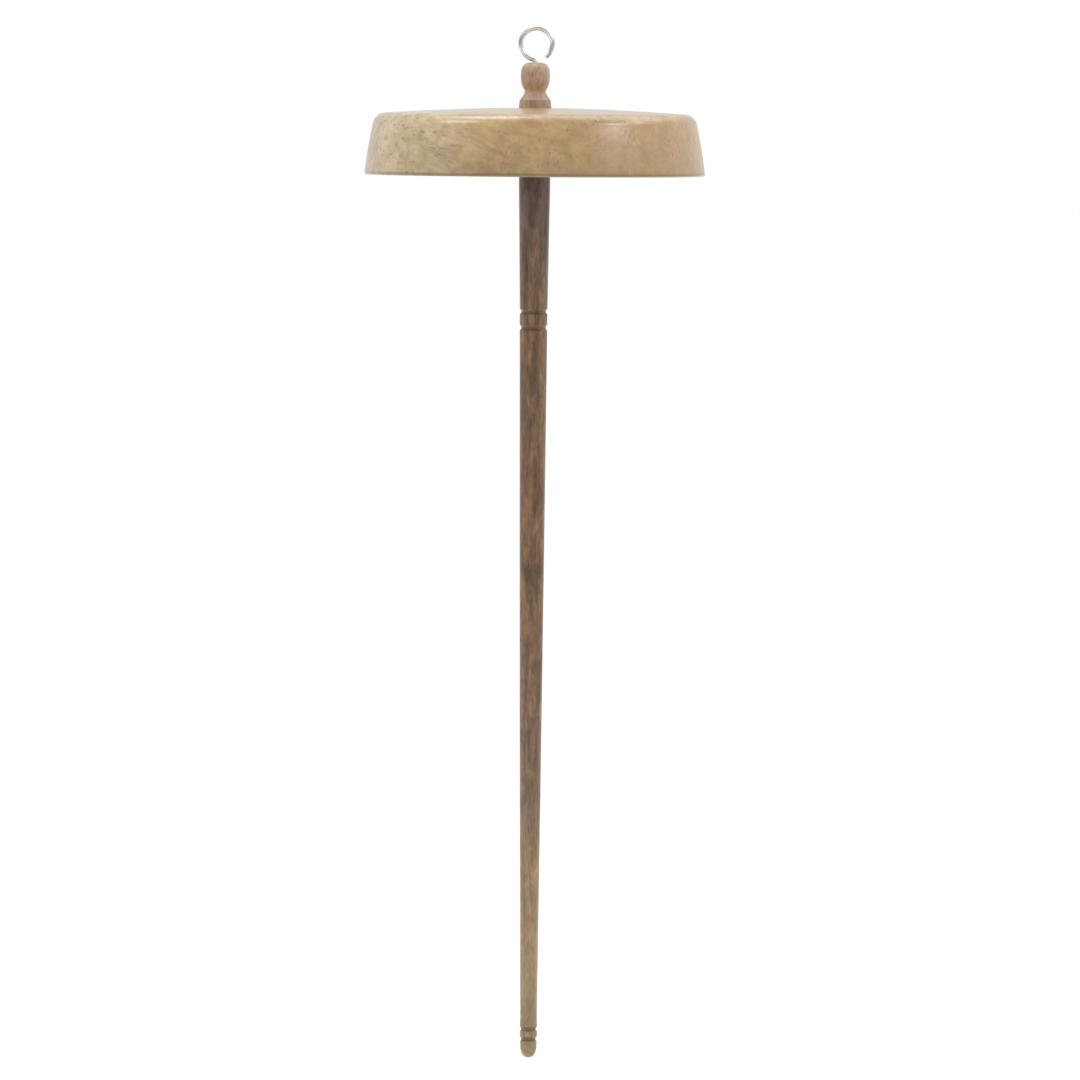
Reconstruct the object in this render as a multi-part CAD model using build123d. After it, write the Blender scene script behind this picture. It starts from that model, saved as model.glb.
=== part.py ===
from build123d import *

import os
from math import acos, atan2, cos, degrees, pi, radians, sin, sqrt

# Top-whorl drop spindle: a heavy turned whorl seated near the top of a long tapered shaft,
# and a small wire hook screwed into the bead that ends the shaft.
#
# Frame: millimetres, +Z up along the shaft. The origin is on the shaft's axis, on the inner top
# of the hook's ring, where the yarn holds the spindle. The ring lies in the XZ plane and its
# mouth is on the +X side. Every height below is measured up from the shaft's lower tip, and
# main() lowers the finished pieces together so that the origin comes to the hook.
#
# The spindle is three pieces, each a solid in a file of its own:
#   shaft       one turned stick: tip, tapered blade, whorl seat, collar, neck and bead
#   whorl       a turned disc with a domed top, pushed up the shaft against the collar
#   screw_hook  bent wire with a right-hand wood-screw thread, driven into the bead

# ---- driving dimensions --------------------------------------------------------------
WHORL_RADIUS = 44.5
WHORL_HEIGHT = 17.6
UNDERSIDE_Z = 230.8
SEAT_RADIUS = 4.1
WIRE_RADIUS = 0.625

# ---- whorl, heights from its underside -----------------------------------------------
SIDE_MID_RADIUS, SIDE_MID_HEIGHT = 43.6, 6.6
SHOULDER_RADIUS, SHOULDER_HEIGHT = 41.7, 16.0
SHOULDER_ROUND = 3.4
DOME_MID_RADIUS, DOME_MID_HEIGHT = 24.0, 17.05
TOP_LAND_RADIUS = 6.0
FOOT_ROUND = 0.5
DISH_OUTER_RADIUS = 30.0
DISH_MID_RADIUS, DISH_MID_DEPTH = 20.0, 1.1
DISH_INNER_RADIUS, DISH_DEPTH = 10.0, 1.5
BORE_CHAMFER = 0.3

# ---- shaft below the whorl, heights from the tip -------------------------------------
TAPER_BREAK_RADIUS, TAPER_BREAK_Z = 3.64, 197.0
TAPER_MID_RADIUS, TAPER_MID_Z = 2.99, 103.0
TAPER_END_RADIUS, TAPER_END_Z = 2.2, 11.0
SWELL_MID_RADIUS, SWELL_MID_Z = 2.23, 9.6
SWELL_RADIUS, SWELL_Z = 2.3, 8.4
RING_BEAD_Z = 5.9
TIP_RADIUS, TIP_HEIGHT, TIP_SQUARENESS = 2.18, 3.6, 2.4
TIP_STEPS = 4
BLADE_GROOVES_Z = (195.3, 191.1)
BLADE_GROOVE_WIDTH, BLADE_GROOVE_DEPTH = 1.25, 0.42
TIP_GROOVES_Z = (7.55, 4.95)
TIP_GROOVE_WIDTH, TIP_GROOVE_DEPTH = 1.2, 0.36

# ---- shaft above the whorl -----------------------------------------------------------
COLLAR_FOOT_RADIUS = 4.28
COLLAR_MID_RADIUS, COLLAR_MID_HEIGHT = 4.17, 1.0
COLLAR_TOP_RADIUS, COLLAR_HEIGHT = 4.06, 2.1
COVE_MID_RADIUS, COVE_MID_HEIGHT = 3.36, 0.9
COVE_HEIGHT = 1.95
NECK_RADIUS, NECK_HEIGHT = 2.78, 0.6
BEAD_RADIUS = 3.8
BEAD_LOWER_HEIGHT, BEAD_LOWER_SQUARENESS = 4.75, 2.0
BEAD_UPPER_HEIGHT, BEAD_UPPER_SQUARENESS = 4.0, 3.5
BEAD_STEPS = 7

# ---- screw hook ----------------------------------------------------------------------
RING_RADIUS = 4.1
RING_OFFSET = 0.25
RING_LIFT = 4.85
BEND_RADIUS = 0.8
MOUTH_ANGLE = -55.0
CUT_END_ROUND = 0.2
SCREW_LENGTH = 10.5
THREAD_TOP_DEPTH = 0.6
THREAD_ROOT_RADIUS = 0.48
THREAD_CREST_RADIUS = 0.8
THREAD_PITCH = 0.85
THREAD_SHARPNESS = 1.6
THREAD_SECTION_POINTS = 24
BLANK_RADIUS = 0.85
POINT_RADIUS = 0.08
POINT_LENGTH = 2.4
RUNOUT_LENGTH = 0.9

# ---- worked out ----------------------------------------------------------------------
TOP_Z = UNDERSIDE_Z + WHORL_HEIGHT
COLLAR_TOP_Z = TOP_Z + COLLAR_HEIGHT
NECK_Z = COLLAR_TOP_Z + COVE_HEIGHT
BEAD_START_Z = NECK_Z + NECK_HEIGHT
BEAD_START_ANGLE = acos((NECK_RADIUS / BEAD_RADIUS) ** (BEAD_LOWER_SQUARENESS / 2))
BEAD_START_DROP = BEAD_LOWER_HEIGHT * sin(BEAD_START_ANGLE) ** (2 / BEAD_LOWER_SQUARENESS)
BEAD_MID_Z = BEAD_START_Z + BEAD_START_DROP
BEAD_TOP_Z = BEAD_MID_Z + BEAD_UPPER_HEIGHT
RING_Z = BEAD_TOP_Z + RING_LIFT
HANG_Z = RING_Z + sqrt((RING_RADIUS - WIRE_RADIUS) ** 2 - RING_OFFSET**2)
THREAD_TOP_Z = BEAD_TOP_Z - THREAD_TOP_DEPTH
POINT_Z = BEAD_TOP_Z - SCREW_LENGTH


def turned(outline):
    """The solid that a closed outline of (radius, height) edges makes, turned about Z."""
    return revolve(Plane.XZ * make_face(outline), Axis.Z).solid()


def rim(solid, radius, z):
    """The round edge of a turned solid that is nearest to this radius and height."""
    rims = solid.edges().filter_by(GeomType.CIRCLE)
    return min(rims, key=lambda edge: abs(edge.radius - radius) + abs(edge.arc_center.Z - z))


def whorl():
    """The disc: dished underside, leaning side, rounded shoulder, domed top and bore."""
    bore_foot = (SEAT_RADIUS, DISH_DEPTH)
    dish_inner = (DISH_INNER_RADIUS, DISH_DEPTH)
    dish_outer = (DISH_OUTER_RADIUS, 0)
    foot = (WHORL_RADIUS, 0)
    shoulder = (SHOULDER_RADIUS, SHOULDER_HEIGHT)
    land = (TOP_LAND_RADIUS, WHORL_HEIGHT)
    bore_top = (SEAT_RADIUS, WHORL_HEIGHT)
    disc = turned(
        [
            Line(bore_foot, dish_inner),
            ThreePointArc(dish_inner, (DISH_MID_RADIUS, DISH_MID_DEPTH), dish_outer),
            Line(dish_outer, foot),
            ThreePointArc(foot, (SIDE_MID_RADIUS, SIDE_MID_HEIGHT), shoulder),
            ThreePointArc(shoulder, (DOME_MID_RADIUS, DOME_MID_HEIGHT), land),
            Line(land, bore_top),
            Line(bore_top, bore_foot),
        ]
    )
    disc = fillet(rim(disc, *shoulder), SHOULDER_ROUND)
    disc = fillet(rim(disc, *foot), FOOT_ROUND)
    disc = chamfer(rim(disc, *bore_foot), BORE_CHAMFER)
    return Pos(0, 0, UNDERSIDE_Z) * disc


def blade_radius(z):
    """Radius of the blade's long gentle taper at a height, on a line between its ends."""
    share = (TAPER_BREAK_Z - z) / (TAPER_BREAK_Z - TAPER_END_Z)
    return TAPER_BREAK_RADIUS + (TAPER_END_RADIUS - TAPER_BREAK_RADIUS) * share


def cut_ring(solid, radius, z, width, depth):
    """Takes a round-bottomed ring of this width and depth out of a shaft of this radius."""
    tool_radius = (width**2 / 4 + depth**2) / (2 * depth)
    return solid - Pos(0, 0, z) * Torus(radius + tool_radius - depth, tool_radius)


def bead_outline():
    """The bead's edge from the neck up to the axis: a tapering lower half and a fuller,
    flatter upper one, each a circle pulled towards a square and stretched along the axis."""
    lower = []
    upper = []
    for step in range(BEAD_STEPS):
        angle = BEAD_START_ANGLE * (1 - step / BEAD_STEPS)
        radius = BEAD_RADIUS * cos(angle) ** (2 / BEAD_LOWER_SQUARENESS)
        drop = BEAD_LOWER_HEIGHT * sin(angle) ** (2 / BEAD_LOWER_SQUARENESS)
        lower.append((radius, BEAD_MID_Z - drop))
        angle = pi / 2 * step / BEAD_STEPS
        radius = BEAD_RADIUS * cos(angle) ** (2 / BEAD_UPPER_SQUARENESS)
        rise = BEAD_UPPER_HEIGHT * sin(angle) ** (2 / BEAD_UPPER_SQUARENESS)
        upper.append((radius, BEAD_MID_Z + rise))
    return Spline(*lower, *upper, (0, BEAD_TOP_Z))


def tip_outline():
    """The blunt lower tip, from the axis out to its side."""
    nose = []
    for step in range(1, TIP_STEPS):
        angle = pi / 2 * step / TIP_STEPS
        radius = TIP_RADIUS * sin(angle) ** (2 / TIP_SQUARENESS)
        drop = TIP_HEIGHT * cos(angle) ** (2 / TIP_SQUARENESS)
        nose.append((radius, TIP_HEIGHT - drop))
    return Spline((0, 0), *nose, (TIP_RADIUS, TIP_HEIGHT), tangents=((1, 0), (0, 1)))


def shaft(hook):
    """The turned stick, with the hook's own screw for the hole in its bead."""
    tip_side = (TIP_RADIUS, TIP_HEIGHT)
    ring_bead = (SWELL_RADIUS, RING_BEAD_Z)
    swell = (SWELL_RADIUS, SWELL_Z)
    taper_end = (TAPER_END_RADIUS, TAPER_END_Z)
    taper_break = (TAPER_BREAK_RADIUS, TAPER_BREAK_Z)
    seat_foot = (SEAT_RADIUS, UNDERSIDE_Z)
    seat_top = (SEAT_RADIUS, TOP_Z)
    collar_foot = (COLLAR_FOOT_RADIUS, TOP_Z)
    collar_top = (COLLAR_TOP_RADIUS, COLLAR_TOP_Z)
    neck_foot = (NECK_RADIUS, NECK_Z)
    bead_start = (NECK_RADIUS, BEAD_START_Z)
    stick = turned(
        [
            tip_outline(),
            Line(tip_side, ring_bead),
            Line(ring_bead, swell),
            ThreePointArc(swell, (SWELL_MID_RADIUS, SWELL_MID_Z), taper_end),
            ThreePointArc(taper_end, (TAPER_MID_RADIUS, TAPER_MID_Z), taper_break),
            Line(taper_break, seat_foot),
            Line(seat_foot, seat_top),
            Line(seat_top, collar_foot),
            ThreePointArc(collar_foot, (COLLAR_MID_RADIUS, TOP_Z + COLLAR_MID_HEIGHT), collar_top),
            ThreePointArc(collar_top, (COVE_MID_RADIUS, COLLAR_TOP_Z + COVE_MID_HEIGHT), neck_foot),
            Line(neck_foot, bead_start),
            bead_outline(),
            Line((0, BEAD_TOP_Z), (0, 0)),
        ]
    )
    for z in BLADE_GROOVES_Z:
        stick = cut_ring(stick, blade_radius(z), z, BLADE_GROOVE_WIDTH, BLADE_GROOVE_DEPTH)
    for z in TIP_GROOVES_Z:
        stick = cut_ring(stick, SWELL_RADIUS, z, TIP_GROOVE_WIDTH, TIP_GROOVE_DEPTH)
    return stick - hook


def thread():
    """The wood-screw thread: an eccentric section twisted up the axis, then trimmed to a
    point below and to the wire's own radius above."""
    section = []
    for step in range(THREAD_SECTION_POINTS):
        angle = 2 * pi * step / THREAD_SECTION_POINTS
        height = ((1 + cos(angle)) / 2) ** THREAD_SHARPNESS
        radius = THREAD_ROOT_RADIUS + (THREAD_CREST_RADIUS - THREAD_ROOT_RADIUS) * height
        section.append((radius * cos(angle), radius * sin(angle)))
    length = THREAD_TOP_Z - POINT_Z
    section_face = Pos(0, 0, POINT_Z) * make_face(Spline(*section, periodic=True))
    twisted = Solid.extrude_linear_with_rotation(
        section_face.face(),
        center=(0, 0, POINT_Z),
        normal=(0, 0, length),
        angle=360 * length / THREAD_PITCH,
    )
    blank = turned(
        Polyline(
            (0, POINT_Z),
            (POINT_RADIUS, POINT_Z),
            (BLANK_RADIUS, POINT_Z + POINT_LENGTH),
            (BLANK_RADIUS, THREAD_TOP_Z - RUNOUT_LENGTH),
            (WIRE_RADIUS, THREAD_TOP_Z),
            (0, THREAD_TOP_Z),
            close=True,
        )
    )
    return twisted & blank


def bent_wire():
    """The wire: a straight shank, a tight bend out of it, and the ring round to its mouth."""
    reach = sqrt((RING_RADIUS + BEND_RADIUS) ** 2 - (RING_OFFSET + BEND_RADIUS) ** 2)
    bend_z = RING_Z - reach
    turn = degrees(atan2(reach, RING_OFFSET + BEND_RADIUS))

    def on_bend(angle):
        reached = (cos(radians(angle)) - 1, 0, sin(radians(angle)))
        return Vector(0, 0, bend_z) + Vector(*reached) * BEND_RADIUS

    def on_ring(angle):
        reached = (cos(radians(angle)), 0, sin(radians(angle)))
        return Vector(RING_OFFSET, 0, RING_Z) + Vector(*reached) * RING_RADIUS

    ring_start = turn - 180
    ring_end = MOUTH_ANGLE - 360
    path = [
        Line((0, 0, THREAD_TOP_Z), on_bend(0)),
        ThreePointArc(on_bend(0), on_bend(turn / 2), on_bend(turn)),
        ThreePointArc(on_bend(turn), on_ring((ring_start + ring_end) / 2), on_ring(ring_end)),
    ]
    wire = sweep(Pos(0, 0, THREAD_TOP_Z) * Circle(WIRE_RADIUS), path=Wire(path)).solid()
    cut_end = wire.faces().sort_by_distance(on_ring(ring_end))[0]
    return fillet(cut_end.edges(), CUT_END_ROUND)


def screw_hook():
    """The ring, shank and thread as one wire."""
    return bent_wire() + thread()


def main():
    os.makedirs("parts", exist_ok=True)
    hook = screw_hook()
    pieces = {"shaft": shaft(hook), "whorl": whorl(), "screw_hook": hook}
    for name, piece in pieces.items():
        placed = Pos(0, 0, -HANG_Z) * piece
        export_step(placed, f"parts/{name}.step")
        print(name, "volume", round(placed.volume, 1), "box", placed.bounding_box())


main()
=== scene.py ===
from math import acos, atan2, cos, hypot, pi, radians, sin, sqrt

import bpy
from mathutils import Matrix, Vector


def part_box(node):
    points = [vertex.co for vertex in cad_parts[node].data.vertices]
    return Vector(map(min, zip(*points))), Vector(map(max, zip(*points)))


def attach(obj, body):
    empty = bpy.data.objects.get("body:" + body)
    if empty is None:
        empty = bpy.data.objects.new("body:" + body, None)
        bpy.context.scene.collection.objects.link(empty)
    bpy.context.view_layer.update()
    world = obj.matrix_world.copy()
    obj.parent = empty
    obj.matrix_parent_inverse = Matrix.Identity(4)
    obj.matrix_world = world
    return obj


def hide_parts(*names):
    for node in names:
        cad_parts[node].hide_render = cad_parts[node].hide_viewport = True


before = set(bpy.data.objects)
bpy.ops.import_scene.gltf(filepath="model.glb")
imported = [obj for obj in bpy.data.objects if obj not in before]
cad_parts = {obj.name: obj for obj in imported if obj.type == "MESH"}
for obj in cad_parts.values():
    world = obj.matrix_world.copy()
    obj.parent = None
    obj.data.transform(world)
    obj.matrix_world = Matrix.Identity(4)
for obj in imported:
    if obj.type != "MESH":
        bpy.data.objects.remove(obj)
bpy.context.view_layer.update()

# A top-whorl drop spindle hanging from its hook. The three CAD nodes are replaced by finer
# turned and bent meshes of the same shape, on one body.
# Lengths are in millimetres here, and MM turns them into the frame's metres.

MM = 0.001
BODY = "root"

# ---- whorl, heights from its underside ----
WHORL_RADIUS, WHORL_HEIGHT = 44.5, 17.6
SIDE_MID = (43.6, 6.6)
SHOULDER = (41.7, 16.0)
SHOULDER_ROUND = 3.4
DOME_MID = (24.0, 17.05)
TOP_LAND_RADIUS = 6.0
FOOT_ROUND = 0.5
DISH_OUTER, DISH_MID, DISH_INNER = (30.0, 0.0), (20.0, 1.1), (10.0, 1.5)
BORE_RADIUS, BORE_CHAMFER = 4.1, 0.3

# ---- shaft, heights from its tip ----
UNDERSIDE_Z = 230.8
TIP_SIDE, TIP_SQUARENESS = (2.18, 3.6), 2.4
RING_BEAD_Z, SWELL_Z, SWELL_RADIUS = 5.9, 8.4, 2.3
SWELL_MID = (2.23, 9.6)
TAPER_END = (2.2, 11.0)
TAPER_MID = (2.99, 103.0)
TAPER_BREAK = (3.64, 197.0)
# grooves as (height, width, depth)
BLADE_GROOVES = ((195.3, 1.25, 0.42), (191.1, 1.25, 0.42))
TIP_GROOVES = ((7.55, 1.2, 0.36), (4.95, 1.2, 0.36))
COLLAR_FOOT_RADIUS = 4.28
COLLAR_MID_RADIUS, COLLAR_MID_HEIGHT = 4.17, 1.0
COLLAR_TOP_RADIUS, COLLAR_HEIGHT = 4.06, 2.1
COLLAR_EDGE_ROUND = 0.12
COVE_MID_RADIUS, COVE_MID_HEIGHT = 3.36, 0.9
COVE_HEIGHT = 1.95
NECK_RADIUS, NECK_HEIGHT = 2.78, 0.6
BEAD_RADIUS = 3.8
BEAD_LOWER_HEIGHT, BEAD_LOWER_SQUARENESS = 4.75, 2.0
BEAD_UPPER_HEIGHT, BEAD_UPPER_SQUARENESS = 4.0, 3.5
# the hook's hole in the bead: its worn edge as (beyond the wire, down), then its gap and depth
HOLE_REACH = 0.2
HOLE_EDGE = ((0.14, 0.02), (0.04, 0.14))
HOLE_GAP, HOLE_DEPTH = 0.03, 0.9

# ---- hook ----
WIRE_RADIUS = 0.625
RING_RADIUS, RING_OFFSET = 4.1, 0.25
BEND_RADIUS = 0.8
MOUTH_ANGLE = -55.0
CUT_END_ROUND = 0.2
SCREW_LENGTH, THREAD_TOP_DEPTH = 10.5, 0.6
THREAD_ROOT, THREAD_CREST, THREAD_PITCH, THREAD_SHARPNESS = 0.48, 0.8, 0.85, 1.6
POINT_RADIUS, POINT_LENGTH, RUNOUT_LENGTH = 0.08, 2.4, 0.9
SHANK_START = 0.01

# ---- how finely the pieces are divided ----
SHAFT_SEGMENTS, WHORL_SEGMENTS, WIRE_SEGMENTS = 96, 288, 32
TAPER_STEPS, SEAT_STEPS = 900, 60
ROWS_PER_TURN, BEND_STEPS, RING_STEPS, CUT_STEPS = 20, 12, 160, 5
SHARP_ANGLE = 32.0


# ---------------------------------------------------------------------------------------
# outlines: lists of (radius, height) in millimetres
# ---------------------------------------------------------------------------------------
def arc(start, middle, end, steps):
    """Points of the circular arc from start through middle to end."""
    (ax, ay), (bx, by), (cx, cy) = start, middle, end
    d = 2 * (ax * (by - cy) + bx * (cy - ay) + cx * (ay - by))
    aa, bb, cc = ax * ax + ay * ay, bx * bx + by * by, cx * cx + cy * cy
    ux = (aa * (by - cy) + bb * (cy - ay) + cc * (ay - by)) / d
    uy = (aa * (cx - bx) + bb * (ax - cx) + cc * (bx - ax)) / d
    radius = hypot(ax - ux, ay - uy)
    first = atan2(ay - uy, ax - ux)
    turn = atan2(cy - uy, cx - ux) - first
    through = atan2(by - uy, bx - ux) - first
    if (through % (2 * pi)) > (turn % (2 * pi)):
        turn = turn % (2 * pi) - 2 * pi
    else:
        turn = turn % (2 * pi)
    angles = [first + turn * step / steps for step in range(steps + 1)]
    return [(ux + radius * cos(a), uy + radius * sin(a)) for a in angles]


def line(start, end, steps):
    """Points along a straight edge."""
    shares = [step / steps for step in range(steps + 1)]
    return [(start[0] + (end[0] - start[0]) * s, start[1] + (end[1] - start[1]) * s) for s in shares]


def joined(*runs):
    """One outline from several, without the doubled points where they meet."""
    outline = [runs[0][0]]
    for run in runs:
        outline += [p for p in run if hypot(p[0] - outline[-1][0], p[1] - outline[-1][1]) > 1e-6]
    return outline


def rounded(before, after, radius, steps=8):
    """Two runs that meet at a corner, with a rolling-ball round of this radius between them."""
    corner = Vector(before[-1])
    back = (Vector(before[-2]) - corner).normalized()
    on = (Vector(after[1]) - corner).normalized()
    half = back.angle(on) / 2
    reach = radius / abs(sin(half) / cos(half))
    first, last = corner + back * reach, corner + on * reach
    centre = corner + (back + on).normalized() * (radius / sin(half))
    middle = centre + (corner - centre).normalized() * radius
    kept_before = [p for p in before if (Vector(p) - corner).length > reach]
    kept_after = [p for p in after if (Vector(p) - corner).length > reach]
    return kept_before + arc(tuple(first), tuple(middle), tuple(last), steps) + kept_after


def whorl_outline():
    """The disc's outline, from the bore's foot out, up, over the dome and down the bore."""
    bore_foot = (BORE_RADIUS, DISH_INNER[1])
    foot = (WHORL_RADIUS, 0.0)
    land = (TOP_LAND_RADIUS, WHORL_HEIGHT)
    under = joined(
        line((BORE_RADIUS, bore_foot[1] + BORE_CHAMFER), (BORE_RADIUS + BORE_CHAMFER, bore_foot[1]), 1),
        line((BORE_RADIUS + BORE_CHAMFER, bore_foot[1]), DISH_INNER, 6),
        arc(DISH_INNER, DISH_MID, DISH_OUTER, 24),
        line(DISH_OUTER, foot, 24),
    )
    side = arc(foot, SIDE_MID, SHOULDER, 40)
    top = joined(arc(SHOULDER, DOME_MID, land, 60), line(land, (BORE_RADIUS, WHORL_HEIGHT), 3))
    lower = rounded(under, side, FOOT_ROUND)
    return rounded(lower, top, SHOULDER_ROUND, 18)


def groove_cut(height, radius):
    """The radius at this height with the round-bottomed rings taken out."""
    for middle, width, depth in BLADE_GROOVES + TIP_GROOVES:
        tool = (width**2 / 4 + depth**2) / (2 * depth)
        off = abs(height - middle)
        if off < width / 2:
            radius = min(radius, radius + tool - depth - sqrt(tool**2 - off**2))
    return radius


def superellipse(radius, height, squareness, angle):
    """A point of a quarter of an ellipse pulled towards a rectangle."""
    return (
        radius * max(cos(angle), 0) ** (2 / squareness),
        height * max(sin(angle), 0) ** (2 / squareness),
    )


def bead_outline(start_z):
    """The bead from its neck to the hole that the hook's shank fills."""
    lower = (BEAD_RADIUS, BEAD_LOWER_HEIGHT, BEAD_LOWER_SQUARENESS)
    upper = (BEAD_RADIUS, BEAD_UPPER_HEIGHT, BEAD_UPPER_SQUARENESS)
    first = acos((NECK_RADIUS / BEAD_RADIUS) ** (BEAD_LOWER_SQUARENESS / 2))
    middle_z = start_z + superellipse(*lower, first)[1]
    points = []
    for step in range(24):
        r, down = superellipse(*lower, first * (1 - step / 24))
        points.append((r, middle_z - down))
    for step in range(40):
        r, up = superellipse(*upper, pi / 2 * step / 40)
        if r > WIRE_RADIUS + HOLE_REACH:
            points.append((r, middle_z + up))
    top_z = middle_z + BEAD_UPPER_HEIGHT
    edge = [(WIRE_RADIUS + beyond, top_z - down) for beyond, down in HOLE_EDGE]
    hole_floor = [(WIRE_RADIUS + HOLE_GAP, top_z - HOLE_DEPTH), (0.0, top_z - HOLE_DEPTH)]
    return points + edge + hole_floor


def shaft_outline():
    """The stick's outline from the tip up, with its grooves."""
    top_z = UNDERSIDE_Z + WHORL_HEIGHT
    collar_top = (COLLAR_TOP_RADIUS, top_z + COLLAR_HEIGHT)
    neck = (NECK_RADIUS, collar_top[1] + COVE_HEIGHT)
    bead_start = (NECK_RADIUS, neck[1] + NECK_HEIGHT)
    nose = [superellipse(*TIP_SIDE, TIP_SQUARENESS, pi / 2 * step / 24) for step in range(25)]
    nose = [(r, TIP_SIDE[1] - up) for r, up in reversed(nose)]
    blade = joined(
        nose,
        line(TIP_SIDE, (SWELL_RADIUS, RING_BEAD_Z), 24),
        line((SWELL_RADIUS, RING_BEAD_Z), (SWELL_RADIUS, SWELL_Z), 24),
        arc((SWELL_RADIUS, SWELL_Z), SWELL_MID, TAPER_END, 8),
        arc(TAPER_END, TAPER_MID, TAPER_BREAK, TAPER_STEPS),
        line(TAPER_BREAK, (BORE_RADIUS, UNDERSIDE_Z), SEAT_STEPS),
    )
    blade = [(groove_cut(z, r), z) for r, z in blade]
    seat = line((BORE_RADIUS, UNDERSIDE_Z), (BORE_RADIUS, top_z), 4)
    collar_mid = (COLLAR_MID_RADIUS, top_z + COLLAR_MID_HEIGHT)
    collar = arc((COLLAR_FOOT_RADIUS, top_z), collar_mid, collar_top, 10)
    cove = arc(collar_top, (COVE_MID_RADIUS, collar_top[1] + COVE_MID_HEIGHT), neck, 10)
    head = rounded([(BORE_RADIUS, top_z), *collar], cove, COLLAR_EDGE_ROUND, 4)
    return joined(blade, seat, head, line(neck, bead_start, 3), bead_outline(bead_start[1]))


# ---------------------------------------------------------------------------------------
# meshes
# ---------------------------------------------------------------------------------------
def make_piece(name, points, faces):
    """A smooth-shaded object from points in millimetres, with hard edges kept crisp."""
    mesh = bpy.data.meshes.new(name)
    mesh.from_pydata([Vector(p) * MM for p in points], [], faces)
    mesh.validate()
    mesh.shade_smooth()
    mesh.set_sharp_from_angle(angle=radians(SHARP_ANGLE))
    piece = bpy.data.objects.new(name, mesh)
    bpy.context.scene.collection.objects.link(piece)
    return piece


def lathe(name, outline, base_z, segments, closed):
    """Turns an outline about Z. A closed outline makes a ring, an open one ends on the axis."""
    points, rows = [], []
    for r, z in outline:
        if r < 1e-6:
            rows.append([len(points)] * segments)
            points.append((0.0, 0.0, base_z + z))
            continue
        rows.append(list(range(len(points), len(points) + segments)))
        for step in range(segments):
            angle = 2 * pi * step / segments
            points.append((r * cos(angle), r * sin(angle), base_z + z))
    faces = []
    pairs = list(zip(rows, rows[1:]))
    if closed:
        pairs.append((rows[-1], rows[0]))
    for low, high in pairs:
        for step in range(segments):
            after = (step + 1) % segments
            corners = [low[step], low[after], high[after], high[step]]
            faces.append([c for i, c in enumerate(corners) if c != corners[i - 1]])
    return make_piece(name, points, faces)


def thread_rings(point_z, thread_top, segments):
    """The screw as rings of points, from its point up to the plain shank."""
    rings = []
    rows = int((thread_top - point_z) / THREAD_PITCH * ROWS_PER_TURN)
    for row in range(rows + 1):
        z = point_z + (thread_top - point_z) * row / rows
        above, below = z - point_z, thread_top - z
        limit = min(POINT_RADIUS + (THREAD_CREST - POINT_RADIUS) * above / POINT_LENGTH, THREAD_CREST)
        root = THREAD_ROOT
        if below < RUNOUT_LENGTH:
            limit = min(limit, WIRE_RADIUS + (THREAD_CREST - WIRE_RADIUS) * below / RUNOUT_LENGTH)
            root += (WIRE_RADIUS - THREAD_ROOT) * (1 - below / RUNOUT_LENGTH)
        ring = []
        for step in range(segments):
            angle = 2 * pi * step / segments
            phase = angle - 2 * pi * above / THREAD_PITCH
            bulge = ((1 + cos(phase)) / 2) ** THREAD_SHARPNESS
            r = min(root + (THREAD_CREST - THREAD_ROOT) * bulge, limit)
            ring.append(Vector((r * cos(angle), r * sin(angle), z)))
        rings.append(ring)
    return rings


def wire_path(ring_z, start_z):
    """Stops of the plain wire as (centre, direction, radius): shank, bend, ring and cut end."""
    reach = sqrt((RING_RADIUS + BEND_RADIUS) ** 2 - (RING_OFFSET + BEND_RADIUS) ** 2)
    bend_z = ring_z - reach
    turn = atan2(reach, RING_OFFSET + BEND_RADIUS)
    path = [(Vector((0, 0, z)), Vector((0, 0, 1)), WIRE_RADIUS) for z in (start_z, bend_z)]
    for step in range(1, BEND_STEPS + 1):
        a = turn * step / BEND_STEPS
        centre = Vector((BEND_RADIUS * (cos(a) - 1), 0, bend_z + BEND_RADIUS * sin(a)))
        path.append((centre, Vector((-sin(a), 0, cos(a))), WIRE_RADIUS))
    first = turn - pi
    last = radians(MOUTH_ANGLE) - 2 * pi + CUT_END_ROUND / RING_RADIUS
    for step in range(1, RING_STEPS + 1):
        a = first + (last - first) * step / RING_STEPS
        centre = Vector((RING_OFFSET + RING_RADIUS * cos(a), 0, ring_z + RING_RADIUS * sin(a)))
        path.append((centre, Vector((sin(a), 0, -cos(a))), WIRE_RADIUS))
    end, along, _ = path[-1]
    for step in range(1, CUT_STEPS + 1):
        a = pi / 2 * step / CUT_STEPS
        radius = WIRE_RADIUS - CUT_END_ROUND * (1 - cos(a))
        path.append((end + along * CUT_END_ROUND * sin(a), along, radius))
    return path


def rings_along(path, segments):
    """A ring of points round each stop of a path that lies in the XZ plane."""
    side = Vector((0, 1, 0))
    angles = [2 * pi * step / segments for step in range(segments)]
    rings = []
    for centre, along, radius in path:
        out = side.cross(along).normalized()
        rings.append([centre + (out * cos(a) + side * sin(a)) * radius for a in angles])
    return rings


def hook_rings(ring_z, bead_top_z, segments):
    """The whole hook as rings of points, from the screw's point to the cut end."""
    thread_top = bead_top_z - THREAD_TOP_DEPTH
    screw = thread_rings(bead_top_z - SCREW_LENGTH, thread_top, segments)
    return screw + rings_along(wire_path(ring_z, thread_top + SHANK_START), segments)


def tube(name, rings):
    """A closed tube through rings of points."""
    segments = len(rings[0])
    points = [p for ring in rings for p in ring]
    faces = []
    for row in range(len(rings) - 1):
        low, high = row * segments, (row + 1) * segments
        for step in range(segments):
            after = (step + 1) % segments
            faces.append([low + step, low + after, high + after, high + step])
    first = list(reversed(range(segments)))
    last = [(len(rings) - 1) * segments + step for step in range(segments)]
    return make_piece(name, points, [first, *faces, last])


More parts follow.
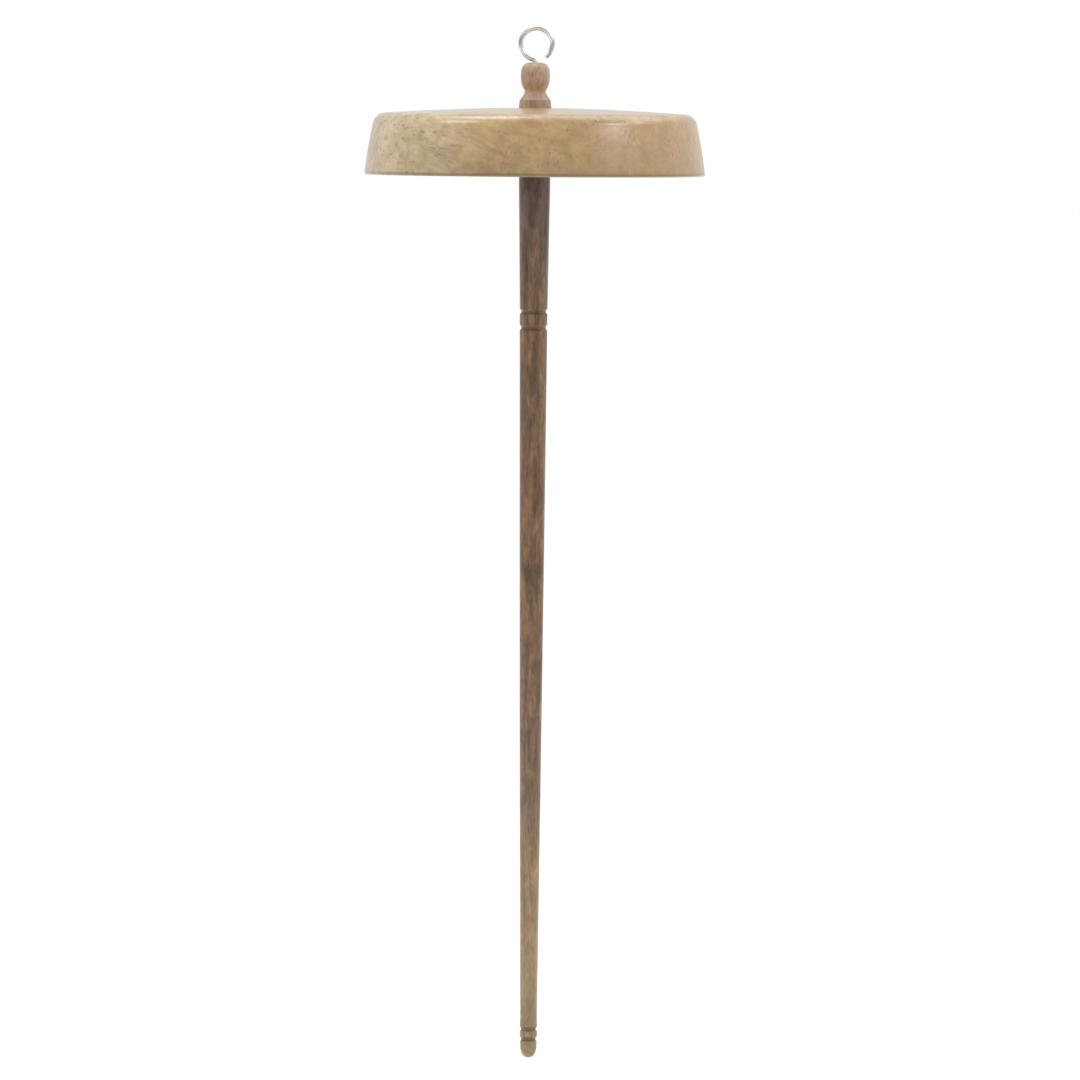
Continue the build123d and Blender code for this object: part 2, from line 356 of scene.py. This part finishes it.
# ---------------------------------------------------------------------------------------
# material nodes
# ---------------------------------------------------------------------------------------
def srgb(red, green, blue):
    """A display colour, 0 to 255, as the linear colour that shaders take."""
    def linear(value):
        value /= 255
        return value / 12.92 if value <= 0.04045 else ((value + 0.055) / 1.055) ** 2.4

    return (linear(red), linear(green), linear(blue), 1.0)


def add(tree, kind, inputs=None, **settings):
    """A new node with its settings, its inputs linked or set."""
    node = tree.nodes.new("ShaderNode" + kind)
    for key, value in settings.items():
        setattr(node, key, value)
    for key, value in (inputs or {}).items():
        if isinstance(value, bpy.types.NodeSocket):
            tree.links.new(value, node.inputs[key])
        else:
            node.inputs[key].default_value = value
    return node


def calc(tree, operation, *values):
    return add(tree, "Math", dict(enumerate(values)), operation=operation).outputs[0]


def remap(tree, value, low, high, to_low=0.0, to_high=1.0, smooth=False):
    """value from low..high onto to_low..to_high, held at both ends."""
    kind = "SMOOTHSTEP" if smooth else "LINEAR"
    sockets = {"Value": value, "From Min": low, "From Max": high, "To Min": to_low, "To Max": to_high}
    return add(tree, "MapRange", sockets, interpolation_type=kind).outputs[0]


def mix(tree, share, a, b, blend="MIX"):
    """Colours a and b mixed by share."""
    return add(tree, "Mix", {0: share, 6: a, 7: b}, data_type="RGBA", blend_type=blend).outputs[2]


def mapped(tree, vector, scale=(1, 1, 1), rotation=(0, 0, 0), shift=(0, 0, 0)):
    sockets = {"Vector": vector, "Location": shift, "Rotation": rotation, "Scale": scale}
    return add(tree, "Mapping", sockets).outputs[0]


def speckle(tree, vector, scale, detail=2.0, rough=0.5, warp=0.0):
    """Smooth noise, about 0.5 in the middle."""
    sockets = {"Vector": vector, "Scale": scale, "Detail": detail, "Roughness": rough, "Distortion": warp}
    return add(tree, "TexNoise", sockets).outputs[0]


def cells(tree, vector, randomness=1.0):
    """Distance to the nearest of one random point per unit cube."""
    return add(tree, "TexVoronoi", {"Vector": vector, "Scale": 1.0, "Randomness": randomness}).outputs[0]


def ramp(tree, value, *stops):
    """A colour ramp of (place, colour) stops."""
    node = add(tree, "ValToRGB", {0: value})
    elements = node.color_ramp.elements
    while len(elements) < len(stops):
        elements.new(0.5)
    for element, (place, colour) in zip(elements, stops):
        element.position = place
        element.color = colour
    return node.outputs[0]


def new_material(name):
    """An empty node material: its tree, its shader and the surface point in millimetres."""
    material = bpy.data.materials.new(name)
    material.use_nodes = True
    tree = material.node_tree
    tree.nodes.clear()
    shader = add(tree, "BsdfPrincipled")
    add(tree, "OutputMaterial", {"Surface": shader.outputs[0]})
    place = add(tree, "TexCoord").outputs["Object"]
    millimetres = mapped(tree, place, scale=(1000, 1000, 1000))
    return material, tree, shader, millimetres


def bumped(tree, shader, height, distance, strength=1.0):
    sockets = {"Height": height, "Distance": distance * MM, "Strength": strength}
    tree.links.new(add(tree, "Bump", sockets).outputs[0], shader.inputs["Normal"])


def vector_calc(tree, operation, a, b):
    """A vector sum, difference or product."""
    return add(tree, "VectorMath", {0: a, 1: b}, operation=operation).outputs[0]


def dot(tree, a, direction):
    """How far a vector reaches along a direction."""
    return add(tree, "VectorMath", {0: a, 1: direction}, operation="DOT_PRODUCT").outputs["Value"]


def length(tree, a):
    """How long a vector is."""
    return add(tree, "VectorMath", {0: a}, operation="LENGTH").outputs["Value"]


def scaled(tree, colour, factor):
    """A colour made lighter or darker, or a vector made longer or shorter, by a factor."""
    return add(tree, "VectorMath", {0: colour, "Scale": factor}, operation="SCALE").outputs[0]


def finished(tree, shader, colour, rough, coat=0.0, coat_rough=0.03, coat_ior=1.5, specular=0.5):
    """Gives the shader its colour, its roughness and a clear coat that is the same all over."""
    tree.links.new(colour, shader.inputs["Base Color"])
    tree.links.new(rough, shader.inputs["Roughness"])
    shader.inputs["Coat Weight"].default_value = coat
    shader.inputs["Coat Roughness"].default_value = coat_rough
    shader.inputs["Coat IOR"].default_value = coat_ior
    shader.inputs["Specular IOR Level"].default_value = specular


# ---- whorl ----
# Grain of the whorl's board: across the disc, sloping down to the right of the front, so that
# the front's left shows long grain and its right shows end grain. The board's left is sapwood.
GRAIN_TURN, GRAIN_DIP = radians(-32), radians(9)
FIBRE_WAY = (cos(GRAIN_TURN) * cos(GRAIN_DIP), sin(GRAIN_TURN) * cos(GRAIN_DIP), -sin(GRAIN_DIP))
GRAIN_WARP = 13.0
PITH_SHIFT = (0, 38, 61)
RING_FREQUENCY = 0.42
SAPWOOD_EDGE, SAPWOOD_BLEND, SAPWOOD_WANDER = -21.0, 9.0, 16.0
SAPWOOD = srgb(190, 170, 126), srgb(210, 191, 153)
HEARTWOOD = srgb(175, 142, 93), srgb(196, 165, 118)
YELLOW_AREA, RED_AREA = srgb(182, 156, 103), srgb(184, 143, 104)
LATE_WOOD, END_GRAIN = srgb(140, 108, 72), srgb(168, 127, 78)
# the second colour here is painted shade for the whorl's foot edge
PORE_COLOUR, PAINTED_FOOT_SHADE = srgb(128, 101, 68), srgb(88, 70, 50)


def board_grain(tree, place):
    """Coordinates with X along the fibres of the whorl's board, gently warped."""
    turned = mapped(tree, place, rotation=(0, 0, -GRAIN_TURN))
    grain = mapped(tree, turned, rotation=(0, -GRAIN_DIP, 0))
    stretched = mapped(tree, grain, (0.35, 1, 1))
    slow = add(tree, "TexNoise", {"Vector": stretched, "Scale": 0.045, "Detail": 2.0})
    bent = vector_calc(tree, "SUBTRACT", slow.outputs["Color"], (0.5, 0.5, 0.5))
    return vector_calc(tree, "ADD", grain, scaled(tree, bent, GRAIN_WARP))


def growth_rings(tree, grain):
    """Late wood, 0 to 1, in growth rings about a pith far below and behind the board."""
    radius = length(tree, mapped(tree, grain, scale=(0.03, 1, 1), shift=PITH_SHIFT))
    wobble = calc(tree, "MULTIPLY", speckle(tree, mapped(tree, grain, (0.1, 1, 1)), 0.25, 3), 1.6)
    phase = calc(tree, "ADD", calc(tree, "MULTIPLY", radius, RING_FREQUENCY), wobble)
    saw = calc(tree, "FRACT", phase)
    late = remap(tree, saw, 0.35, 0.98, smooth=True)
    return calc(tree, "MULTIPLY", late, remap(tree, saw, 1.0, 0.96))


def heartwood(tree, x, patch):
    """0 in the pale sapwood on the board's left, 1 in the tan heartwood, with a wandering edge."""
    edge = calc(tree, "ADD", x, calc(tree, "MULTIPLY", patch, SAPWOOD_WANDER))
    middle = SAPWOOD_EDGE + SAPWOOD_WANDER / 2
    return remap(tree, edge, middle - SAPWOOD_BLEND, middle + SAPWOOD_BLEND, smooth=True)


def whorl_tones(tree, grain, place, heart, patch):
    """The board's broad colours: sapwood, heartwood, yellower and redder areas, and rings."""
    tint = speckle(tree, mapped(tree, place, shift=(40, 7, 3)), 0.13, 3, 0.6)
    mottle = speckle(tree, mapped(tree, grain, (0.6, 1, 1), shift=(3, 1, 8)), 0.34, 3, 0.55, 0.6)
    sap_colour = ramp(tree, patch, (0.34, SAPWOOD[0]), (0.66, SAPWOOD[1]))
    heart_colour = ramp(tree, patch, (0.34, HEARTWOOD[0]), (0.66, HEARTWOOD[1]))
    colour = mix(tree, heart, sap_colour, heart_colour)
    yellow = calc(tree, "MULTIPLY", remap(tree, tint, 0.44, 0.62), 0.6)
    colour = mix(tree, yellow, colour, YELLOW_AREA)
    red = calc(tree, "MULTIPLY", remap(tree, tint, 0.46, 0.34), 0.45)
    colour = mix(tree, red, colour, RED_AREA)
    colour = mix(tree, calc(tree, "MULTIPLY", growth_rings(tree, grain), 0.12), colour, LATE_WOOD)
    return scaled(tree, colour, remap(tree, mottle, 0.38, 0.62, 0.86, 1.09))


def open_pores(tree, grain, heart):
    """Short dark dashes along the grain, dots on the end grain, fewer in the heartwood."""
    large = cells(tree, mapped(tree, grain, (0.22, 0.72, 0.72)))
    long = cells(tree, mapped(tree, grain, (0.1, 0.9, 0.9), shift=(1, 4, 7)))
    small = cells(tree, mapped(tree, grain, (0.55, 1.7, 1.7), shift=(5, 9, 2)))
    crowd = remap(tree, speckle(tree, mapped(tree, grain, (0.3, 1, 1)), 0.16, 2), 0.32, 0.5)
    crowd = calc(tree, "MULTIPLY", crowd, remap(tree, heart, 0.0, 1.0, 1.0, 0.45))
    large = remap(tree, large, 0.38, 0.1, smooth=True)
    long = remap(tree, long, 0.2, 0.08, smooth=True)
    coarse = calc(tree, "MULTIPLY", calc(tree, "MAXIMUM", large, long), crowd)
    small = remap(tree, small, 0.36, 0.12, smooth=True)
    fine = calc(tree, "MULTIPLY", small, remap(tree, heart, 0, 1, 0.26, 0.12))
    return calc(tree, "MAXIMUM", calc(tree, "MULTIPLY", coarse, 0.6), fine)


def ray_flecks(tree, place):
    """Short dashes up and down across the grain, in loose groups."""
    flecks = cells(tree, mapped(tree, place, (0.85, 0.85, 0.34), shift=(6, 2, 5)))
    crowd = speckle(tree, mapped(tree, place, shift=(9, 5, 1)), 0.11, 2)
    group = remap(tree, crowd, 0.46, 0.6, 0.0, 0.5)
    return calc(tree, "MULTIPLY", remap(tree, flecks, 0.34, 0.14, smooth=True), group)


def lathe_lines(tree, x, y, z):
    """Fine turning marks, the same all the way round the disc."""
    out = length(tree, add(tree, "CombineXYZ", {0: x, 1: y}).outputs[0])
    return speckle(tree, add(tree, "CombineXYZ", {0: out, 2: z}).outputs[0], 2.6, 3, 0.6)


def whorl_wood(foot_z):
    """Pale mottled wood under lacquer, its underside at foot_z in millimetres."""
    material, tree, shader, place = new_material("whorl_wood")
    grain = board_grain(tree, place)
    x, y, z = add(tree, "SeparateXYZ", {0: place}).outputs
    fibre = speckle(tree, mapped(tree, grain, (0.07, 1, 1)), 1.9, 5, 0.65)
    patch = speckle(tree, mapped(tree, grain, (0.4, 1, 1)), 0.085, 3, 0.55, 0.4)
    heart = heartwood(tree, x, patch)
    colour = whorl_tones(tree, grain, place, heart, patch)

    # fibres show more in the sapwood; the side is darker low down and lighter high up, painted shade low
    # on the side and painted sheen high on it
    darkest = remap(tree, heart, 0.0, 1.0, 0.88, 0.97)
    colour = scaled(tree, colour, remap(tree, fibre, 0.35, 0.66, 1.03, darkest))
    # painted shade and sheen: the side's colour darkens towards the foot and lightens towards the
    # shoulder
    colour = scaled(tree, colour, remap(tree, z, foot_z + 1.0, foot_z + 14.0, 0.87, 1.06))

    # end grain drinks more finish: darker and more orange where the surface cuts the fibres
    normal = add(tree, "TexCoord").outputs["Normal"]
    end = calc(tree, "POWER", calc(tree, "ABSOLUTE", dot(tree, normal, FIBRE_WAY)), 2.0)
    colour = mix(tree, calc(tree, "MULTIPLY", end, 0.45), colour, END_GRAIN)

    marks = calc(tree, "MAXIMUM", open_pores(tree, grain, heart), ray_flecks(tree, place))
    colour = mix(tree, marks, colour, PORE_COLOUR)

    # painted shade along the sharp foot, where the underside's edge falls in shadow
    foot = remap(tree, z, foot_z + 1.1, foot_z + 0.5, 0.0, 0.7)
    colour = mix(tree, foot, colour, PAINTED_FOOT_SHADE)
    marks_rough = calc(tree, "MULTIPLY", marks, 0.2)
    rough = calc(tree, "ADD", remap(tree, fibre, 0.3, 0.7, 0.34, 0.46), marks_rough)
    finished(tree, shader, colour, rough, coat=1.0, coat_rough=0.26, coat_ior=1.6, specular=0.5)

    lines = calc(tree, "MULTIPLY", lathe_lines(tree, x, y, z), 0.45)
    height = calc(tree, "ADD", lines, calc(tree, "MULTIPLY", fibre, 0.5))
    height = calc(tree, "SUBTRACT", height, calc(tree, "MULTIPLY", marks, 1.4))
    bumped(tree, shader, height, 0.035)
    return material


# ---- shaft ----
# the blade's colours from the whorl, 0, down to the tip, 1; the darkest stops next to the whorl are
# painted shadow cast by the whorl over the wood's own darker tone
BLADE_TONES_AND_SHADOW = (
    (0.0, srgb(76, 56, 49)),
    (0.04, srgb(99, 79, 67)),
    (0.16, srgb(117, 88, 60)),
    (0.44, srgb(117, 87, 60)),
    (0.70, srgb(124, 97, 78)),
    (0.78, srgb(150, 123, 93)),
    (0.86, srgb(156, 134, 102)),
    (0.91, srgb(145, 124, 94)),
    (1.0, srgb(149, 129, 99)),
)
# the head's pale tone is partly the wood's own lighter colour and partly painted sheen
HEAD_TONE_AND_SHEEN, GROOVE_SHADE = srgb(182, 157, 133), srgb(84, 56, 42)
OLIVE, REDDISH = (1.0, 1.04, 0.86), (1.08, 0.95, 0.92)
BLADE_GROOVE_DARKNESS, TIP_GROOVE_DARKNESS = 0.3, 0.6


def shaft_grain(tree, place):
    """Coordinates with Z along the shaft's fibres, which lean and wander a little."""
    grain = mapped(tree, place, rotation=(radians(1.2), radians(-0.8), 0))
    drift = speckle(tree, mapped(tree, place, (0.2, 0.2, 1)), 0.03, 2)
    sideways = {0: calc(tree, "MULTIPLY", drift, 3.0), 1: calc(tree, "MULTIPLY", drift, -2.0)}
    return vector_calc(tree, "ADD", grain, add(tree, "CombineXYZ", sideways).outputs[0])


def groove_painted_shade(tree, colour, height, tip_z):
    """Painted shade in the turned grooves, most in the pair at the tip."""
    pairs = ((BLADE_GROOVES, BLADE_GROOVE_DARKNESS), (TIP_GROOVES, TIP_GROOVE_DARKNESS))
    for grooves, darkness in pairs:
        for middle, width, _ in grooves:
            off = calc(tree, "ABSOLUTE", calc(tree, "SUBTRACT", height, tip_z + middle))
            share = remap(tree, off, width * 0.55, width * 0.35, 0.0, darkness)
            # painted shade darkening the groove
            colour = mix(tree, share, colour, GROOVE_SHADE)
    return colour


def shaft_wood(tip_z, whorl_z):
    """Brown straight-grained wood, darkest under the whorl, where painted shadow from the whorl darkens
    it. Heights are the frame's, in mm.
    """
    material, tree, shader, place = new_material("shaft_wood")
    grain = shaft_grain(tree, place)
    broad = speckle(tree, mapped(tree, grain, (1, 1, 0.09)), 0.36, 3, 0.55, 0.6)
    streak = speckle(tree, mapped(tree, grain, (1, 1, 0.13), shift=(3, 8, 1)), 0.55, 4, 0.62, 0.5)
    fine = speckle(tree, mapped(tree, grain, (1, 1, 0.07), shift=(7, 1, 4)), 4.2, 4, 0.6)
    flame = speckle(tree, mapped(tree, grain, (1, 1, 0.45), shift=(9, 2, 6)), 0.6, 3, 0.6, 0.8)
    tubes = cells(tree, mapped(tree, grain, (1.9, 1.9, 0.2), shift=(2, 6, 9)))
    pore = remap(tree, tubes, 0.30, 0.14, smooth=True)

    height = add(tree, "SeparateXYZ", {0: place}).outputs[2]
    down = remap(tree, height, whorl_z, tip_z)
    top_z = whorl_z + WHORL_HEIGHT
    head = remap(tree, height, top_z - 2.0, top_z)
    # the blade's tones carry painted shadow just under the whorl; the head's pale tone is partly painted
    # sheen
    tone = mix(tree, head, ramp(tree, down, *BLADE_TONES_AND_SHADOW), HEAD_TONE_AND_SHEEN)

    # the head and the pale end are calm, and the dark blade between them is strongly streaked
    calm = calc(tree, "MAXIMUM", head, remap(tree, down, 0.55, 0.9))
    darkest = remap(tree, calm, 0.0, 1.0, 0.62, 0.82)
    lightest = remap(tree, calm, 0.0, 1.0, 1.33, 1.13)
    colour = scaled(tree, tone, remap(tree, streak, 0.38, 0.62, darkest, lightest))
    darkest = remap(tree, calm, 0.0, 1.0, 0.8, 0.9)
    colour = scaled(tree, colour, remap(tree, flame, 0.38, 0.62, darkest, 1.15))
    olive = vector_calc(tree, "MULTIPLY", colour, OLIVE)
    reddish = vector_calc(tree, "MULTIPLY", colour, REDDISH)
    colour = mix(tree, remap(tree, broad, 0.48, 0.62), colour, olive)
    colour = mix(tree, remap(tree, broad, 0.47, 0.36), colour, reddish)
    darkest = remap(tree, calm, 0.0, 1.0, 0.78, 0.9)
    colour = scaled(tree, colour, remap(tree, fine, 0.4, 0.7, 1.06, darkest))
    darkest = remap(tree, calm, 0.0, 1.0, 0.62, 0.8)
    colour = scaled(tree, colour, remap(tree, pore, 0.0, 1.0, 1.0, darkest))
    colour = groove_painted_shade(tree, colour, height, tip_z)

    pore_rough = calc(tree, "MULTIPLY", pore, 0.2)
    rough = calc(tree, "ADD", remap(tree, fine, 0.3, 0.7, 0.36, 0.5), pore_rough)
    finished(tree, shader, colour, rough, coat=0.4, coat_rough=0.28, specular=0.3)
    bumped(tree, shader, calc(tree, "SUBTRACT", calc(tree, "MULTIPLY", fine, 0.7), pore), 0.03)
    return material


# ---- hook ----
# the line across the ring, from its middle, between the two places that hold painted dark reflections
DARK_REFLECTION_ANGLE = radians(-22)
BRIGHT_METAL, DARK_REFLECTION_METAL = srgb(231, 231, 232), srgb(182, 182, 183)


def hook_metal(ring_z):
    """Bright plated wire, darker on the two opposite sides of the ring, where painted dark reflections
    stand in the colour.
    """
    material, tree, shader, place = new_material("hook_metal")
    from_middle = mapped(tree, place, shift=(-RING_OFFSET, 0, -ring_z))
    reach = dot(tree, from_middle, (cos(DARK_REFLECTION_ANGLE), 0.0, sin(DARK_REFLECTION_ANGLE)))
    reach = calc(tree, "DIVIDE", calc(tree, "ABSOLUTE", reach), RING_RADIUS)
    dull = speckle(tree, place, 0.9, 4, 0.6)
    fine = speckle(tree, place, 7.0, 3, 0.6)
    # painted dark reflections on the two opposite sides of the ring
    painted_reflection = remap(tree, calc(tree, "ADD", reach, calc(tree, "MULTIPLY", dull, 0.2)), 0.9, 1.08)
    colour = mix(tree, painted_reflection, BRIGHT_METAL, DARK_REFLECTION_METAL)
    fine_rough = calc(tree, "MULTIPLY", fine, 0.06)
    rough = calc(tree, "ADD", remap(tree, dull, 0.35, 0.7, 0.28, 0.4), fine_rough)
    finished(tree, shader, colour, rough)
    shader.inputs["Metallic"].default_value = 1.0
    bumped(tree, shader, fine, 0.003)
    return material


# ---------------------------------------------------------------------------------------
# the object
# ---------------------------------------------------------------------------------------
tip_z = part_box("shaft")[0][2] / MM
whorl_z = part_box("whorl")[0][2] / MM
hook_top_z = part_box("screw_hook")[1][2] / MM
hook_low_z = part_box("screw_hook")[0][2] / MM

shaft = lathe("shaft_turned", shaft_outline(), tip_z, SHAFT_SEGMENTS, closed=False)
whorl = lathe("whorl_disc", whorl_outline(), whorl_z, WHORL_SEGMENTS, closed=True)
ring_z = hook_top_z - RING_RADIUS - WIRE_RADIUS
hook = tube("hook_wire", hook_rings(ring_z, hook_low_z + SCREW_LENGTH, WIRE_SEGMENTS))

finishes = {
    "shaft": (shaft, "shaft_wood", shaft_wood(tip_z, whorl_z)),
    "whorl": (whorl, "whorl_wood", whorl_wood(whorl_z)),
    "screw_hook": (hook, "hook_metal", hook_metal(ring_z)),
}
for node, (piece, slot, material) in finishes.items():
    piece.data.materials.append(material)
    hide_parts(node)
    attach(piece, BODY)


# ---------------------------------------------------------------------------------------
# floor, light and camera
# ---------------------------------------------------------------------------------------
# the floor's drop below the tip in millimetres; its width and the lights' distance in metres
FLOOR_GAP = 45.0
FLOOR_SIZE = 40.0
LIGHT_DISTANCE = 2.6
DAYLIGHT = (0.965, 0.98, 1.0)


def floor():
    """A plain pale floor a little below the tip of the hanging spindle."""
    z = (tip_z - FLOOR_GAP) * MM
    half = FLOOR_SIZE / 2
    mesh = bpy.data.meshes.new("floor")
    corners = [(-half, -half, z), (half, -half, z), (half, half, z), (-half, half, z)]
    mesh.from_pydata(corners, [], [(0, 1, 2, 3)])
    plane = bpy.data.objects.new("floor", mesh)
    bpy.context.scene.collection.objects.link(plane)
    material, tree, shader, place = new_material("floor_paper")
    tooth = speckle(tree, place, 0.4, 4)
    colour = mix(tree, tooth, (0.975, 0.975, 0.975, 1), (0.985, 0.985, 0.985, 1))
    tree.links.new(colour, shader.inputs["Base Color"])
    shader.inputs["Roughness"].default_value = 0.9
    mesh.materials.append(material)


def soft_light(name, direction, width, height, watts):
    """A rectangular light, its size in metres, in that direction from the whorl and aimed at it."""
    aim = Vector((0, 0, (whorl_z + WHORL_HEIGHT / 2) * MM))
    data = bpy.data.lights.new(name, "AREA")
    data.shape = "RECTANGLE"
    data.size, data.size_y = width, height
    data.energy = watts
    lamp = bpy.data.objects.new(name, data)
    lamp.location = aim + Vector(direction).normalized() * LIGHT_DISTANCE
    lamp.rotation_euler = (lamp.location - aim).to_track_quat("Z", "Y").to_euler()
    bpy.context.scene.collection.objects.link(lamp)


def overhead(name, direction, spread, strength):
    """A soft light from that direction, spread in degrees, even over the floor and the object."""
    data = bpy.data.lights.new(name, "SUN")
    data.angle = radians(spread)
    data.energy = strength
    data.color = DAYLIGHT
    lamp = bpy.data.objects.new(name, data)
    lamp.rotation_euler = Vector(direction).to_track_quat("Z", "Y").to_euler()
    bpy.context.scene.collection.objects.link(lamp)


def surroundings():
    """A white studio: plain white to the camera, and lit more from behind than from the front."""
    world = bpy.data.worlds.new("studio")
    bpy.context.scene.world = world
    world.use_nodes = True
    tree = world.node_tree
    tree.nodes.clear()
    way = add(tree, "TexCoord").outputs["Generated"]
    parts = add(tree, "SeparateXYZ", {0: way})
    level = remap(tree, parts.outputs[1], -0.7, 0.5, 0.34, 0.76, smooth=True)
    room = add(tree, "Background", {"Color": (1, 1, 1, 1), "Strength": level})
    plain = add(tree, "Background", {"Color": (1, 1, 1, 1), "Strength": 1.0})
    seen = add(tree, "LightPath").outputs["Is Camera Ray"]
    both = add(tree, "MixShader", {0: seen, 1: room.outputs[0], 2: plain.outputs[0]})
    add(tree, "OutputWorld", {"Surface": both.outputs[0]})


# the view, in millimetres and degrees: the frame's centre is (across, above the tip)
CAMERA_DISTANCE = 3000.0
CAMERA_RISE = 0.4
FRAME_WIDTH = 282.2
FRAME_CENTRE = (2.1, 135.62)
ROLL = 0.42


def camera():
    """A long lens level with the whorl, tipped down to the middle of the spindle."""
    aim = Vector((FRAME_CENTRE[0], 0, tip_z + FRAME_CENTRE[1])) * MM
    rise = CAMERA_DISTANCE * sin(radians(CAMERA_RISE))
    place = Vector((FRAME_CENTRE[0], -CAMERA_DISTANCE, whorl_z + WHORL_HEIGHT / 2 + rise)) * MM
    data = bpy.data.cameras.new("camera")
    data.sensor_width = 36.0
    data.lens = data.sensor_width * (place - aim).length / (FRAME_WIDTH * MM)
    data.clip_start, data.clip_end = 0.1, 60.0
    view = bpy.data.objects.new("camera", data)
    turn = (place - aim).to_track_quat("Z", "Y").to_matrix().to_4x4()
    view.matrix_world = Matrix.Translation(place) @ turn @ Matrix.Rotation(radians(ROLL), 4, "Z")
    bpy.context.scene.collection.objects.link(view)
    bpy.context.scene.camera = view


floor()
surroundings()
overhead("overhead_left", (-0.28, 0.09, 0.956), 30.0, 1.0)
overhead("overhead_right", (0.45, 0.28, 0.848), 50.0, 0.72)
soft_light("side_left", (-0.70, -0.35, 0.63), 0.9, 1.0, 15.0)
soft_light("side_right", (0.795, -0.414, 0.446), 0.8, 0.4, 11.0)
soft_light("kicker", (0.819, 0.014, 0.574), 0.5, 0.6, 4.0)
camera()
bpy.context.scene.view_settings.view_transform = "Standard"
bpy.context.scene.view_settings.look = "None"
